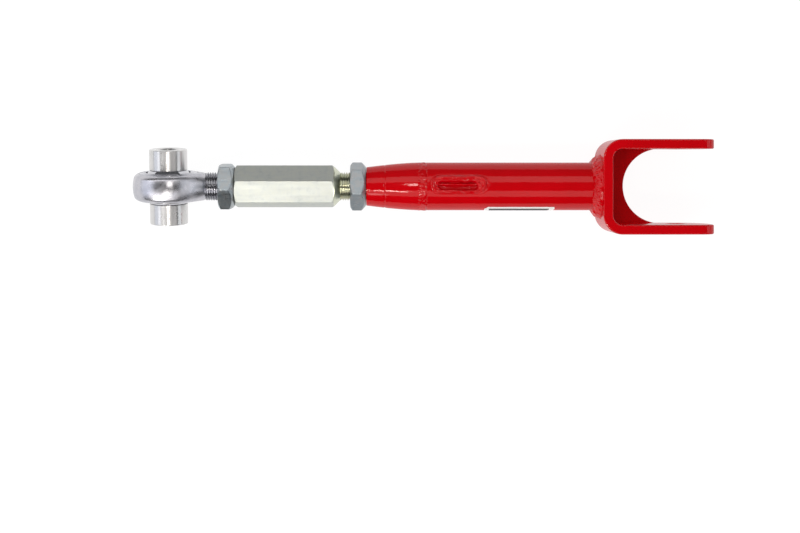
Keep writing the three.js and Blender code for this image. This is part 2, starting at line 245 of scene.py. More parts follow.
def rounded(outline, closed=True, steps=5, default=0.2):
    """Points and outward normals of an outline of (x, r, radius) corners, clockwise with x to the right.

    A corner without a radius gets the default one. A radius of None marks a point on a smooth curve.
    """
    corners = [(c[0], c[1], c[2] if len(c) > 2 else default) for c in outline]
    count = len(corners)
    points, normals = [], []
    for i, (x, r, radius) in enumerate(corners):
        here = np.array([x, r], float)
        before = np.array(corners[(i - 1) % count][:2], float)
        after = np.array(corners[(i + 1) % count][:2], float)
        if not closed and i == 0:
            before = 2 * here - after
        if not closed and i == count - 1:
            after = 2 * here - before
        into = (here - before) / np.linalg.norm(here - before)
        out = (after - here) / np.linalg.norm(after - here)
        n_in = np.array([-into[1], into[0]])
        n_out = np.array([-out[1], out[0]])
        bend = math.atan2(into[0] * out[1] - into[1] * out[0], into @ out)
        if radius is None or abs(bend) < 1e-4:
            mean = n_in + n_out
            points.append(here)
            normals.append(mean / np.linalg.norm(mean))
            continue
        reach = radius * math.tan(abs(bend) / 2)
        room = 0.48 * min(np.linalg.norm(here - before), np.linalg.norm(after - here))
        if reach > room:
            reach, radius = room, room / math.tan(abs(bend) / 2)
        side = 1 if bend < 0 else -1
        centre = here - into * reach - side * radius * n_in
        for k in range(steps + 1):
            turn = bend * k / steps
            c, s = math.cos(turn), math.sin(turn)
            n = np.array([n_in[0] * c - n_in[1] * s, n_in[0] * s + n_in[1] * c])
            points.append(centre + side * radius * n)
            normals.append(n)
    return np.array(points), np.array(normals)


def turned(outline, closed=True, columns=128, cap=(False, False), **options):
    """A turned shape about X, with exact normals."""
    points, normals = rounded(outline, closed, **options)
    angle = np.arange(columns) / columns * TAU
    at = about_x(points[:, :1], points[:, 1:], angle[None])
    facing = about_x(normals[:, :1], normals[:, 1:], angle[None])
    verts, faces, _ = grid(at, wrap_rows=closed, cap=cap)
    return verts, faces, facing.reshape(-1, 3)


def carve(field, low, high, step):
    """Quads on the zero surface of a distance field, with its gradient as the normals.

    Each grid cell that the surface crosses gets one point, the mean of the crossings on its edges.
    Each crossed edge gets one quad, between the points of the four cells round it. The points are
    then moved onto the surface along its gradient.
    """
    axes = [np.arange(a, b + step, step) for a, b in zip(low, high)]
    nodes = np.stack(np.meshgrid(*axes, indexing="ij"), -1)
    depth = field(nodes)
    inside = depth < 0
    cells = tuple(n - 1 for n in depth.shape)
    total = np.zeros(cells + (3,))
    count = np.zeros(cells)
    edges = []
    for axis in range(3):
        lower = tuple(slice(0, -1) if a == axis else slice(None) for a in range(3))
        upper = tuple(slice(1, None) if a == axis else slice(None) for a in range(3))
        crossing = inside[lower] != inside[upper]
        where = np.argwhere(crossing)
        d0, d1 = depth[lower][crossing], depth[upper][crossing]
        at = nodes[lower][crossing]
        at[:, axis] += step * d0 / (d0 - d1)
        b, c = [a for a in range(3) if a != axis]
        for db in (0, 1):
            for dc in (0, 1):
                cell = where.copy()
                cell[:, b] -= db
                cell[:, c] -= dc
                ok = ((cell >= 0) & (cell < cells)).all(1)
                key = tuple(cell[ok].T)
                np.add.at(total, key, at[ok])
                np.add.at(count, key, 1)
        edges.append((where, d0 < 0))
    used = count > 0
    index = -np.ones(cells, int)
    index[used] = np.arange(used.sum())
    points = total[used] / count[used][:, None]
    faces = []
    for axis, (where, rising) in enumerate(edges):
        b, c = (axis + 1) % 3, (axis + 2) % 3
        around = []
        for db, dc in ((1, 1), (0, 1), (0, 0), (1, 0)):
            cell = where.copy()
            cell[:, b] -= db
            cell[:, c] -= dc
            around.append(index[tuple(cell.T)])
        quads = np.stack(around, -1)
        faces.append(quads[rising])
        faces.append(quads[~rising][:, ::-1])
    for _ in range(3):
        slope = gradient(field, points)
        shift = field(points)[:, None] * slope / np.maximum((slope**2).sum(1), 0.2)[:, None]
        points = points - np.clip(shift, -0.4 * step, 0.4 * step)
    normals = gradient(field, points)
    normals /= np.maximum(np.linalg.norm(normals, axis=1), 1e-9)[:, None]
    return points, np.concatenate(faces).tolist(), normals


def gradient(field, points, reach=0.03):
    slope = np.empty_like(points)
    for axis in range(3):
        offset = np.zeros(3)
        offset[axis] = reach
        slope[:, axis] = (field(points + offset) - field(points - offset)) / (2 * reach)
    return slope


def turned_by(points, angle):
    """Points or normals turned about X, from +Y towards +Z."""
    c, s = math.cos(angle), math.sin(angle)
    y, z = points[..., 1], points[..., 2]
    return np.stack([points[..., 0], c * y - s * z, s * y + c * z], -1)


def piece(name, node, material, shells, turn=0.0, lathe=None):
    """One object of one or more shells, in place of a CAD node, riding on that node's body.

    The lathe attribute holds (along, radius, angle) in millimetres and radians for the finish.
    """
    verts, faces, custom, marks, used = [], [], [], [], 0
    for points, quads, normals in shells:
        if lathe == "y":
            along, flat = points[:, 1], points[:, [0, 2]]
        else:
            along, flat = points[:, 0], points[:, [1, 2]]
        radius = np.linalg.norm(flat, axis=1)
        marks.append(np.stack([along, radius, np.arctan2(flat[:, 0], flat[:, 1])], -1))
        verts.append(turned_by(points, turn))
        faces += [[i + used for i in face] for face in quads]
        missing = np.full_like(points, np.nan)
        custom.append(missing if normals is None else turned_by(normals, turn))
        used += len(points)
    verts = np.concatenate(verts) * MM + CENTRE
    custom = np.concatenate(custom)
    mesh = bpy.data.meshes.new(name)
    mesh.from_pydata(verts.tolist(), [], faces)
    mesh.polygons.foreach_set("use_smooth", [True] * len(mesh.polygons))
    mark = mesh.attributes.new("lathe", "FLOAT_VECTOR", "POINT")
    mark.data.foreach_set("vector", np.concatenate(marks).astype(np.float32).ravel())
    mesh.update()
    if not np.isnan(custom).all():
        own = np.array([n.vector for n in mesh.vertex_normals])
        blank = np.isnan(custom[:, 0])
        custom[blank] = own[blank]
        mesh.normals_split_custom_set_from_vertices(custom.tolist())
    made = bpy.data.objects.new(name, mesh)
    bpy.context.scene.collection.objects.link(made)
    mesh.materials.append(material)
    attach(made, frame["nodes"][node]["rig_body"])
    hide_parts(node)
    return made


# Materials


class Finish:
    """A Principled material with helpers for adding noise, bump and colour steps."""

    def __init__(self, name, colour, roughness, metallic=0.0, **values):
        self.material = bpy.data.materials.new(name)
        self.material.use_nodes = True
        self.nodes = self.material.node_tree.nodes
        self.links = self.material.node_tree.links
        self.shader = self.nodes["Principled BSDF"]
        self.set("Base Color", (*colour, 1))
        self.set("Roughness", roughness)
        self.set("Metallic", metallic)
        for socket, value in values.items():
            self.set(socket.replace("_", " "), value)
        self.height = None

    def set(self, socket, value):
        self.shader.inputs[socket].default_value = value

    def node(self, kind, **inputs):
        made = self.nodes.new(kind)
        for socket, value in inputs.items():
            target = made.inputs[socket.replace("_", " ")]
            if isinstance(value, bpy.types.NodeSocket):
                self.links.new(value, target)
            else:
                target.default_value = value
        return made

    def place(self, stretch=(1, 1, 1), attribute=None):
        """Position in metres, or the lathe coordinates, scaled."""
        if attribute:
            source = self.nodes.new("ShaderNodeAttribute")
            source.attribute_name = attribute
            vector = source.outputs["Vector"]
        else:
            vector = self.nodes.new("ShaderNodeTexCoord").outputs["Object"]
        scaled = self.node("ShaderNodeVectorMath")
        scaled.operation = "MULTIPLY"
        self.links.new(vector, scaled.inputs[0])
        scaled.inputs[1].default_value = stretch
        return scaled.outputs[0]

    def noise(self, scale, detail=2.0, roughness=0.5, stretch=(1, 1, 1), attribute=None):
        made = self.node("ShaderNodeTexNoise", Scale=scale, Detail=detail, Roughness=roughness)
        self.links.new(self.place(stretch, attribute), made.inputs["Vector"])
        return made.outputs["Fac"]

    def steps(self, value, low, high, at=(0.3, 0.7)):
        """A value mapped to a range of numbers."""
        made = self.node("ShaderNodeMapRange")
        self.links.new(value, made.inputs["Value"])
        for socket, number in zip(("From Min", "From Max", "To Min", "To Max"), (*at, low, high)):
            made.inputs[socket].default_value = number
        return made.outputs["Result"]

    def colours(self, value, *stops):
        made = self.node("ShaderNodeValToRGB")
        ramp = made.color_ramp
        while len(ramp.elements) < len(stops):
            ramp.elements.new(0.5)
        for element, (at, colour) in zip(ramp.elements, stops):
            element.position = at
            element.color = (*colour, 1)
        self.links.new(value, made.inputs["Fac"])
        self.links.new(made.outputs["Color"], self.shader.inputs["Base Color"])

    def rough(self, value, low, high, at=(0.3, 0.7)):
        self.links.new(self.steps(value, low, high, at), self.shader.inputs["Roughness"])

    def bump(self, value, depth, strength=1.0):
        """Relief of that many metres, added to any there already."""
        made = self.node("ShaderNodeBump", Strength=strength, Distance=depth)
        self.links.new(value, made.inputs["Height"])
        if self.height:
            self.links.new(self.height, made.inputs["Normal"])
        self.height = made.outputs["Normal"]
        self.links.new(self.height, self.shader.inputs["Normal"])
        if "Coat Normal" in self.shader.inputs and self.shader.inputs["Coat Weight"].default_value:
            self.links.new(self.height, self.shader.inputs["Coat Normal"])
        return self


def powder_coat(name, gloss, grain):
    """Glossy red powder coat, with a fine orange peel; it flows smoother and thicker over the welds."""
    made = Finish(
        name, (0.53, 0.0, 0.003), 0.36, Coat_Weight=gloss, Coat_Roughness=0.07, Specular_IOR_Level=0.0
    )
    made.colours(
        made.noise(55, 3.0), (0.3, (0.51, 0.0, 0.0025)), (0.7, (0.555, 0.0, 0.0035))
    )
    made.rough(made.noise(240, 2.0), 0.32, 0.42)
    made.bump(made.noise(620, 1.5), 0.00002)
    if grain:
        made.bump(made.noise(420, 2.0), 0.00032)
    return made.material


def zinc(name, pale, deep, tint, rough):
    """Zinc plate over drawn bar: faint streaks along it and cloudy passivate colours."""
    made = Finish(name, pale, rough, 1.0)
    made.colours(
        made.noise(240, 5.0, 0.68), (0.32, deep), (0.46, pale), (0.58, tint), (0.74, pale)
    )
    made.rough(made.noise(500, 3.0, 0.6, (0.12, 1, 1)), rough - 0.05, rough + 0.07)
    made.bump(made.noise(1100, 2.0, 0.6, (0.3, 1, 1)), 0.000012)
    made.bump(made.noise(420, 3.0, 0.6), 0.00006)
    return made


def machined(made, start, colour, rough):
    """Past `start` along the arm the surface is machined, smoother and of another tint."""
    along = made.node("ShaderNodeSeparateXYZ")
    made.links.new(made.place(attribute="lathe"), along.inputs[0])
    past = made.steps(along.outputs["X"], 0, 1, (start - 0.3, start + 0.3))
    for socket, value in (("Base Color", (*colour, 1)), ("Roughness", rough)):
        target = made.shader.inputs[socket]
        mix = made.node("ShaderNodeMix")
        mix.data_type = "RGBA" if socket == "Base Color" else "FLOAT"
        a, b = [i for i in mix.inputs if i.enabled and i.name in "AB"]
        made.links.new(past, mix.inputs[0])
        made.links.new(target.links[0].from_socket, a)
        b.default_value = value
        made.links.new([o for o in mix.outputs if o.enabled][0], target)
    return made


def steel(name, dark, light, rough, turned_marks=False, forged=0.0):
    """Bare steel: forged and polished, or turned, which spreads its highlights along the lathe axis."""
    made = Finish(name, light, rough[0], 1.0)
    made.colours(made.noise(60 if turned_marks else 140, 3.0), (0.35, dark), (0.65, light))
    made.rough(made.noise(60 if turned_marks else 320, 3.0), *rough)
    if turned_marks:
        made.set("Anisotropic", 0.85)
        axis = made.node("ShaderNodeCombineXYZ", Y=math.cos(TURN), Z=math.sin(TURN))
        made.links.new(axis.outputs[0], made.shader.inputs["Tangent"])
        made.bump(made.noise(2.2, 3.0, 0.7, (1, 0.05, 0), "lathe"), 0.000005)
    if forged:
        made.bump(made.noise(150, 2.0), forged)
        made.bump(made.noise(900, 2.0, 0.6), forged * 0.1)
    return made.material


RED = powder_coat("red_powder_coat", 0.56, False)
RED_WELD = powder_coat("red_powder_coat_on_welds", 0.66, True)
YELLOW_ZINC = machined(
    zinc("yellow_zinc", (0.51, 0.53, 0.505), (0.46, 0.48, 0.46), (0.53, 0.545, 0.50), 0.5),
    CONE_START + 1.0, (0.60, 0.62, 0.50), 0.26,
).material
CLEAR_ZINC = zinc(
    "clear_zinc", (0.345, 0.385, 0.41), (0.30, 0.34, 0.37), (0.365, 0.38, 0.385), 0.30
).material
# Darker copy of the clear zinc for the tube nut: painted shade, since both nuts have the same plating
# and only the light on them differs.
SHADED_ZINC = zinc(
    "clear_zinc_painted_shade", (0.27, 0.30, 0.32), (0.23, 0.255, 0.275), (0.295, 0.30, 0.305), 0.30
).material
THREAD_ZINC = zinc(
    "thread_zinc", (0.44, 0.45, 0.34), (0.36, 0.38, 0.29), (0.48, 0.46, 0.32), 0.22
).material
POLISHED = steel("polished_steel", (0.46, 0.46, 0.50), (0.54, 0.53, 0.56), (0.25, 0.35), forged=0.00007)
THREAD_STEEL = steel("thread_steel", (0.24, 0.24, 0.27), (0.36, 0.36, 0.38), (0.18, 0.30))
TURNED = steel("turned_steel", (0.60, 0.595, 0.59), (0.66, 0.65, 0.645), (0.24, 0.34), True)
RING = steel("ring_steel", (0.42, 0.42, 0.46), (0.50, 0.50, 0.54), (0.2, 0.32), True)
CHROME = steel("ball_chrome", (0.56, 0.56, 0.59), (0.62, 0.62, 0.65), (0.04, 0.09))


def polymer():
    made = Finish("race_polymer", (0.03, 0.03, 0.034), 0.5)
    made.colours(made.noise(300, 3.0), (0.3, (0.02, 0.02, 0.023)), (0.7, (0.045, 0.045, 0.05)))
    made.rough(made.noise(700), 0.42, 0.6)
    return made.bump(made.noise(1400, 2.0), 0.00004).material


def vinyl(name, colour, darker, gloss):
    made = Finish(name, colour, 0.3, Coat_Weight=gloss, Coat_Roughness=0.15, Specular_IOR_Level=gloss)
    made.colours(made.noise(180, 2.0), (0.3, darker), (0.7, colour))
    made.rough(made.noise(400), 0.26, 0.36)
    return made.bump(made.noise(500, 1.5), 0.00003).material


POLYMER = polymer()
WHITE_VINYL = vinyl("white_vinyl", (0.86, 0.85, 0.83), (0.80, 0.79, 0.77), 0.25)
BLACK_VINYL = vinyl("black_print", (0.025, 0.022, 0.022), (0.016, 0.014, 0.014), 0.06)
GREY_VINYL = vinyl("grey_print", (0.55, 0.54, 0.54), (0.48, 0.47, 0.47), 0.06)


# Rod end


def thread(start, end, hand, columns=96, run_in=2.0, chamfer=1.4):
    """Rows of an outside thread; hand is 1 for right and -1 for left."""
    x = np.arange(start, end, PITCH / 16)[:, None]
    angle = (np.arange(columns) / columns * TAU)[None]
    phase = (x / PITCH + hand * angle / TAU) % 1.0
    rise = np.clip(2.5 * (np.abs(phase - 0.5) * 2) - 0.55, 0, 1.0)
    rise = rise * rise * (3 - 2 * rise) * 0.35 + rise * 0.65
    full = THREAD_ROOT + (THREAD_R - THREAD_ROOT) * rise
    full = THREAD_ROOT + (full - THREAD_ROOT) * smooth(start, start + run_in, x)
    limit = THREAD_R - np.maximum(x - (end - chamfer), 0)
    radius = soft_min(full, limit + 0 * angle, 0.15)
    return grid(about_x(x, radius, angle), cap=(True, True))


def housing(p):
    """Head, neck and the concave blend between them, cut flat on two sides and bored for the races."""
    x, y, z = p[..., 0], p[..., 1], p[..., 2]
    across = np.hypot(y, z)
    head = np.sqrt(x * x + across * across) - HEAD_R
    neck = np.maximum(across - NECK_R, 8 - x)
    mid_across = NECK_R + NECK_FILLET
    mid_x = math.sqrt((HEAD_R + NECK_FILLET) ** 2 - mid_across**2)
    dx, da = x - mid_x, across - mid_across
    between = (dx < 0) & (da * mid_x - dx * mid_across < 0)
    body = np.where(between, NECK_FILLET - np.hypot(dx, da), np.minimum(head, neck))
    body = corner(body, np.abs(y) - HEAD_HALF, 3.1)
    body = corner(body, across - THREAD_ROOT - 0.8 * np.maximum(NECK_END - x, 0), 1.5)
    body = corner(body, x - NECK_END, 0.2)
    rho = np.hypot(x, z)
    seat = np.where(y > LIP_Y, SEAT_R, LIP_R) - rho
    return corner(body, seat, 0.3)


HEAD_BOX = (HEAD_R + 1, HEAD_HALF + 0.8, HEAD_R + 1)
piece(
    "rod_end_head", "rod_end_housing", POLISHED,
    [carve(housing, (-HEAD_BOX[0], -HEAD_BOX[1], -HEAD_BOX[2]), (NECK_END + 1, *HEAD_BOX[1:]), 0.45)],
    turn=TURN,
)
piece(
    "rod_end_thread", "rod_end_housing", THREAD_STEEL,
    [thread(NECK_END - 2.5, SHANK_END, 1)], turn=TURN,
)


def stood(shell):
    """A shell laid along +X, stood along +Y."""
    points, faces, normals = shell
    return along_y(points), faces, None if normals is None else along_y(normals)


def arc(radius, start, end, steps):
    """Points (height, radius) of a circle about the origin between two heights, as a smooth curve."""
    low, high = math.asin(start / radius), math.asin(end / radius)
    angles = np.linspace(low, high, steps + 1)
    return [(radius * math.sin(a), radius * math.cos(a), None) for a in angles]


ball_arc = arc(BALL_R, -BALL_HALF + 0.02, BALL_HALF - 0.02, 40)
piece(
    "ball_chrome_ball", "ball", CHROME,
    [
        stood(turned([
            (BALL_HALF, BALL_BORE_R, 0.5), (-BALL_HALF, BALL_BORE_R, 0.5),
            (-BALL_HALF, ball_arc[0][1], 0.3), *ball_arc[1:-1], (BALL_HALF, ball_arc[-1][1], 0.3),
        ], columns=144))
    ],
    turn=TURN, lathe="y",
)

for name, low, high in (("race_lower", LIP_Y + 0.1, -0.05), ("race_upper", 0.05, RACE_TOP)):
    hollow = arc(BALL_R + 0.06, low, high, 16)
    piece(
        name + "_shell", name, POLYMER,
        [stood(turned([(low, SEAT_R - 0.08), (high, SEAT_R - 0.08), *reversed(hollow)], columns=96))],
        turn=TURN, lathe="y",
    )


def ring():
    """Preload ring: raised collar round the ball, and spanner slots cut down through both.

    Laid along +X, its angles run from +Z towards +Y, which become -X when it is stood up.
    """
    slots = [RING_SLOT_FIRST + k * TAU / 3 for k in range(3)]
    half = RING_SLOT_HALF
    middle_r = 17.0
    base = np.linspace(0, TAU, 240, endpoint=False)
    edges = []
    for slot in slots:
        for side in (-1, 1):
            edges += [slot + side * (half + d) / middle_r for d in (-0.12, -0.06, 0.0, 0.06, 0.12)]
    angle = np.sort(np.concatenate([base, np.array(edges) % TAU]))
    outline, _ = rounded([
        (RING_BOTTOM, 15.5), (RING_TOP, 14.85, 0.3), (RING_TOP, 16.55, 0.25),
        (RING_FACE + 0.04, 16.85, 0.12), (RING_FACE, SEAT_R - 0.1, 0.25), (RING_BOTTOM, SEAT_R - 0.1),
    ])
    height = np.repeat(outline[:, :1], len(angle), 1)
    radius = np.repeat(outline[:, 1:], len(angle), 1)
    for slot in slots:
        across = (angle - slot + math.pi) % TAU - math.pi
        near = np.cos(across) > 0
        off = np.abs(np.sin(across))[None] * radius
        depth = smooth(half + 0.1, half - 0.1, off) * near
        sunk = height + (RING_SLOT_FLOOR - height) * depth
        height = np.where(depth > 0, np.minimum(height, sunk), height)
    return grid(about_x(height, radius, angle[None]), wrap_rows=True)


piece(
    "preload_ring_collar", "preload_ring", RING, [stood(ring())], turn=TURN, lathe="y",
)


def spacer(side):
    """Flanged sleeve with its spigot in the ball's bore; side is 1 for the upper, -1 for the lower."""
    shoulder = BALL_HALF + 0.12
    shell = turned([
        (0.2, SPIGOT_R, 0.3), (shoulder, SPIGOT_R, 0.05), (shoulder, SPACER_R, 0.45),
        (SPACER_END, SPACER_R, 0.55), (SPACER_END, BOLT_BORE_R + 0.5, 0.2),
        (SPACER_END - 0.5, BOLT_BORE_R, 0.15), (0.2, BOLT_BORE_R, 0.3),
    ], columns=144)
    points, faces, normals = stood(shell)
    if side < 0:
        points, normals = (turned_by(a, math.pi) for a in (points, normals))
    return points, faces, normals


for name, side in (("spacer_upper", 1), ("spacer_lower", -1)):
    piece(
        name + "_sleeve", name, TURNED, [spacer(side)], turn=TURN, lathe="y",
    )


# Hex pieces


def hex_angles(first):
    """Angles round a hexagon with a corner at `first` degrees, close together near each corner."""
    near = np.array([0.25, 0.5, 0.8, 1.2, 1.8, 2.7, 4, 6.5, 10, 15, 20, 25])
    one = np.concatenate([-near[::-1], [0.0], near])
    return np.radians(np.concatenate([first + 60 * k + np.append(one, 30.0) for k in range(6)]))


def hexagon(flats, first, angle, width=0.1):
    """Radius of a hexagon with slightly rounded corners."""
    off = np.abs((angle - math.radians(first)) % (TAU / 6) - TAU / 12)
    near = flats / 2 / np.cos(off)
    far = flats / 2 / np.cos(TAU / 6 - off)
    return soft_min(near, far, width)


def jam_nut(start, end, first):
    """Nut with a chamfered bore and both faces' corners chamfered; `first` places its corners."""
    angle = hex_angles(first)[None]
    flats = hexagon(NUT_FLATS, first, angle, 0.22)
    near = np.concatenate([[0, 0.04, 0.1], np.arange(0.2, 4.2, 0.14)])
    side = np.concatenate([near, [(end - start) / 2], (end - start) - near[::-1]])[:, None]
    left = NUT_LEFT_FACE + NUT_LEFT_SLOPE * side
    right = NUT_RIGHT_FACE + NUT_RIGHT_SLOPE * (end - start - side)
    cone = np.minimum(left, right)
    sides = about_x(start + side, soft_min(flats, cone + 0 * angle, 0.1), angle)
    inside = [(0.0, BORE_R + 0.9), (0.0, NUT_LEFT_FACE - 0.25)]
    bore = [
        (end - start, NUT_RIGHT_FACE - 0.25), (end - start, BORE_R + 0.9),
        (end - start - 0.06, BORE_R + 0.84), (end - start - 0.9, BORE_R), (end - start - 1.2, BORE_R),
        (1.2, BORE_R), (0.9, BORE_R), (0.06, BORE_R + 0.84),
    ]
    rows = [about_x(start + x, np.full_like(angle, r), angle) for x, r in inside]
    rows += [sides]
    rows += [about_x(start + x, np.full_like(angle, r), angle) for x, r in bore]
    return grid(np.concatenate(rows), wrap_rows=True)


piece(
    "shank_nut_hex", "shank_jam_nut", CLEAR_ZINC,
    [jam_nut(*SHANK_NUT, SHANK_NUT_CORNER)],
)
# The tube nut gets the darker copy of the clear zinc: painted shade.
piece(
    "tube_nut_hex", "tube_jam_nut", SHADED_ZINC,
    [jam_nut(*TUBE_NUT, TUBE_NUT_CORNER)],
)


def adjuster():
    """Hex bar: blind bore and chamfer at the left, cone down to the stud at the right."""
    angle = hex_angles(ADJUSTER_CORNER)[None]
    flats = hexagon(HEX_FLATS, ADJUSTER_CORNER, angle)
    top = HEX_FLATS / math.sqrt(3)
    face = HEX_FLATS / 2 - 0.25
    near = np.concatenate([[0, 0.04, 0.1], np.arange(0.2, 2.0, 0.12)])
    cut = CONE_START - ADJUSTER_START
    x = np.concatenate([
        near, [4, 12, 20, 30, 40, 50, 58, cut - 3], np.arange(cut - 1, cut + 2.9, 0.1),
        [cut + 3.6, cut + 4.4, cut + 5.2, cut + 6.0],
    ])[:, None]
    start = face + 1.5 * x
    cone = top + 0.05 - (x - cut)
    limit = soft_min(start, np.maximum(cone, THREAD_ROOT - 0.1), 0.2)
    sides = about_x(ADJUSTER_START + x, soft_min(flats, limit + 0 * angle, 0.1), angle)
    bore = [
        (ADJUSTER_BORE, 0.05), (ADJUSTER_BORE - 4, BORE_R), (1.9, BORE_R), (1.6, BORE_R),
        (0.06, BORE_R + 1.54), (0.0, BORE_R + 1.6), (0.0, face - 0.2),
    ]
    rows = [about_x(ADJUSTER_START + a, np.full_like(angle, r), angle) for a, r in bore]
    return grid(np.concatenate([*rows, sides]), cap=(True, True))


piece("adjuster_hex", "hex_adjuster", YELLOW_ZINC, [adjuster()])
piece(
    "adjuster_stud", "hex_adjuster", THREAD_ZINC,
    [thread(STUD_START - 1.0, STUD_END, -1, run_in=1.5)],
)


# Welded body


def bung():
    """Tapered end with a faint ring groove, a threaded bore and a spigot inside the tube."""
    taper = []
    for x in np.linspace(BUNG_START + 1.2, BUNG_SHOULDER, 160):
        t = (x - BUNG_START) / (BUNG_SHOULDER - BUNG_START)
        rise = math.sin(t * math.radians(75)) / math.sin(math.radians(75))
        groove = 0.28 * math.exp(-(((x - BUNG_GROOVE_X) / 0.36) ** 2))
        taper.append((x, BUNG_FACE_R + (TUBE_R - BUNG_FACE_R) * rise - groove, None))
    return turned([
        (BUNG_BORE_END, 0.05, 0.01), (BUNG_BORE_END, BORE_R, 0.3), (BUNG_START + 1, BORE_R, 0.2),
        (BUNG_START, BORE_R + 1, 0.2), (BUNG_START, BUNG_FACE_R + 0.05, 0.7), *taper,
        (BUNG_SHOULDER + 0.8, TUBE_R, 0.1), (BUNG_SHOULDER + 0.8, BUNG_SPIGOT_R, 0.3),
        (BUNG_END, BUNG_SPIGOT_R, 0.5), (BUNG_END, 0.05, 0.01),
    ], closed=False, cap=(True, True), columns=160)


piece("bung_taper", "threaded_bung", RED, [bung()])


def weld_ring():
    """Butt weld: a low rounded bead with crescent ripples."""
    x = np.linspace(BUTT_START - 1.1, BUTT_END + 1.2, 70)[:, None]
    angle = (np.arange(520) / 520 * TAU)[None]
    t = (x - x[0]) / (x[-1] - x[0])
    at = about_x(x, TUBE_R, angle)
    edge = 0.12 + 0.07 * lumps(at, 5.0, 3)
    crown = smooth(0.0, 1.0, np.minimum(t, 1 - t) / (edge + 0.08))
    ripple = np.sin(TAU * (angle * TUBE_R + 2.2 * (2 * t - 1) ** 2) / 1.75)
    height = 0.04 + 0.14 * lumps(at, 3.6, 5) + 0.10 * lumps(at, 1.6, 6) + 0.03 * ripple
    pits = smooth(0.8, 1.2, lumps(at, 1.7, 8))
    radius = TUBE_R - 0.35 + crown * (0.35 + np.clip(height, -0.15, 0.3) - 0.2 * pits)
    rows = about_x(x, radius, angle)
    inner = about_x(x[::-1][[0, -1]], TUBE_R - 1.5, angle)
    return grid(np.concatenate([rows, inner]), wrap_rows=True)


piece("bung_weld", "bung_weld_bead", RED_WELD, [weld_ring()])


def from_slot(x, across):
    """Distance outside the slot's racetrack outline, measured over the tube's surface."""
    return np.hypot(np.maximum(np.abs(x - SLOT_MID) - SLOT_REACH, 0), across) - SLOT_HALF_WIDTH


def tube():
    """Tube with the slot sunk into it, its points close together round the slot."""
    x = np.concatenate([
        [TUBE_START - 0.1], np.arange(SLOT_START - 3, SLOT_END + 3, 0.5),
        np.arange(SLOT_END + 4, TUBE_END, 4.0), [TUBE_END + 0.2],
    ])[:, None]
    near = np.radians(np.arange(-40, 40, 1.5)) + SLOT_ANGLE
    rest = np.radians(np.arange(40, 320, 4.0)) + SLOT_ANGLE
    angle = np.concatenate([near, rest])[None]
    across = ((angle - SLOT_ANGLE + math.pi) % TAU - math.pi) * TUBE_R
    drop = 3.1 * smooth(0.3, -1.2, from_slot(x, across))
    outside = about_x(x, TUBE_R - drop, angle)
    inner = about_x(x[::-1][[0, -1]], TUBE_BORE_R, angle)
    return grid(np.concatenate([outside, inner]), wrap_rows=True)


piece("tube_shell", "main_tube", RED, [tube()])


def slot_weld():
    """Plug weld: a broad lumpy rim round the slot, with a deep narrow trough left in the middle."""
    x = np.linspace(SLOT_START - 2.4, SLOT_END + 2.4, 260)[:, None]
    across = np.linspace(-9.0, 9.0, 110)[None]
    angle = SLOT_ANGLE + across / TUBE_R
    at = about_x(x, TUBE_R, angle)
    away = from_slot(x, across) + 0.4 * lumps(at, 7.0, 11) + 0.15 * lumps(at, 2.5, 12)
    trough = np.hypot(np.maximum(np.abs(x - SLOT_MID + 1) - 10.6, 0), across + 0.9) - 2.7
    trough = trough + 0.35 * lumps(at, 5.0, 13) + 0.12 * lumps(at, 1.8, 18)
    rim = smooth(0.9, -1.3, away)
    crown = np.exp(-(((away + 1.9) / 1.1) ** 2)) * (1 + 0.3 * lumps(at, 6.0, 21))
    height = -0.3 + rim * (0.30 + 0.12 * lumps(at, 5.0, 14) + 0.17 * lumps(at, 2.2, 15))
    height += crown * 0.75
    far = smooth(8.0, 13.0, np.abs(x - SLOT_MID))
    height += rim * far * 0.20 * np.sin(TAU * (away + 0.2 * lumps(at, 3.0, 19)) / 2.1)
    sunk = smooth(0.6, -0.6, trough)
    height -= sunk * (3.0 + 0.2 * lumps(at, 4.0, 16))
    ridge = np.exp(-(((across - 0.1 + 0.3 * lumps(at, 9.0, 17)) / 0.85) ** 2))
    height += (2.0 + 0.3 * lumps(at, 2.0, 20)) * ridge * sunk
    height = soft_min(height, 0.9 + 0 * height, 0.2)
    return grid(about_x(x, TUBE_R + height, angle), wrap_columns=False)


piece("slot_weld", "slot_plug_weld", RED_WELD, [slot_weld()])


def clevis_weld():
    """Fillet between the tube and the web: an uneven slope with coarse ripples."""
    t = np.linspace(0, 1, 60)[:, None]
    angle = (np.arange(560) / 560 * TAU)[None]
    at = about_x(FILLET_START + 6 * t, 19.0, angle)
    toe = FILLET_START - 0.5 + 0.7 * lumps(at[:1], 9.0, 21)
    top = 21.9 + 0.9 * lumps(at[:1], 11.0, 22)
    top = top - 1.6 * smooth(-0.80, -0.97, np.cos(angle))
    end = FILLET_END + 0.5
    bulge = np.sin(t * math.pi) ** 0.8
    ripple = np.sin(TAU * (angle * 19 + 2.0 * (2 * t - 1) ** 2) / 2.4)
    out = bulge * (0.80 + 0.40 * lumps(at, 4.5, 23) + 0.30 * lumps(at, 2.0, 24) + 0.04 * ripple)
    out = out - 0.45 * smooth(0.7, 1.1, lumps(at, 2.0, 25)) * bulge
    x = toe + (end - toe) * t - out * 0.7
    radius = TUBE_R - 0.3 + (top - TUBE_R + 0.3) * t + out * 0.7
    back = about_x(end + 0 * angle, TUBE_R - 1.0, angle)
    start = about_x(toe + 0 * angle, TUBE_R - 1.0, angle)
    return grid(np.concatenate([about_x(x, radius, angle), back, start]), wrap_rows=True)


piece("clevis_weld", "clevis_weld_bead", RED_WELD, [clevis_weld()])


def u_shape(x, y, inset):
    """Distance outside the U's outer outline moved inwards by `inset`; the U is open towards +X."""
    radius = BEND_R + PLATE - inset
    qx = WEB_START + inset + radius - x
    qy = np.abs(y) - (CLEVIS_HALF - inset - radius)
    return np.hypot(np.maximum(qx, 0), np.maximum(qy, 0)) + np.minimum(np.maximum(qx, qy), 0) - radius


